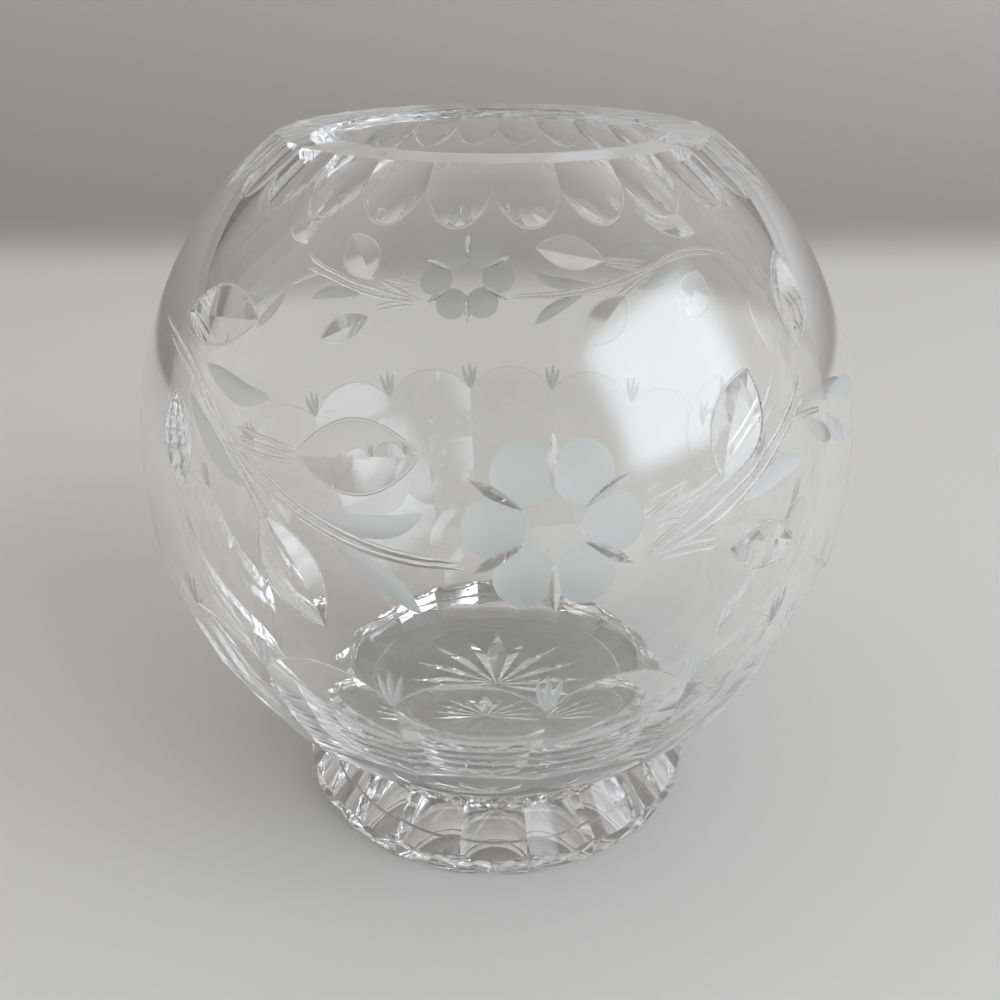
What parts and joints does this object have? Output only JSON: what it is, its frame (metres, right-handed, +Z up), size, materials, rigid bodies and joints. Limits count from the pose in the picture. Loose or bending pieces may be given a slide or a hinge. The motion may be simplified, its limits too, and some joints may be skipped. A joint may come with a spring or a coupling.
{
  "type": "rose bowl vase",
  "caption": "Clear cut-glass rose bowl: a round vase with a narrow polished mouth, cut flowers, leaves and arches, on a short fluted foot.",
  "frame": {"origin": "centre of the standing ring, on the surface that the vase stands on", "axes": "+Z up along the vase's axis, -Y towards the front flower"},
  "size_m": [0.13, 0.13, 0.13],
  "materials": {
    "bowl_glass": "polished, with matte ground petals and blades",
    "foot_glass": "polished"
  },
  "bodies": {
    "root": {"bowl": "bowl_glass", "foot": "foot_glass"}
  },
  "joints": []
}
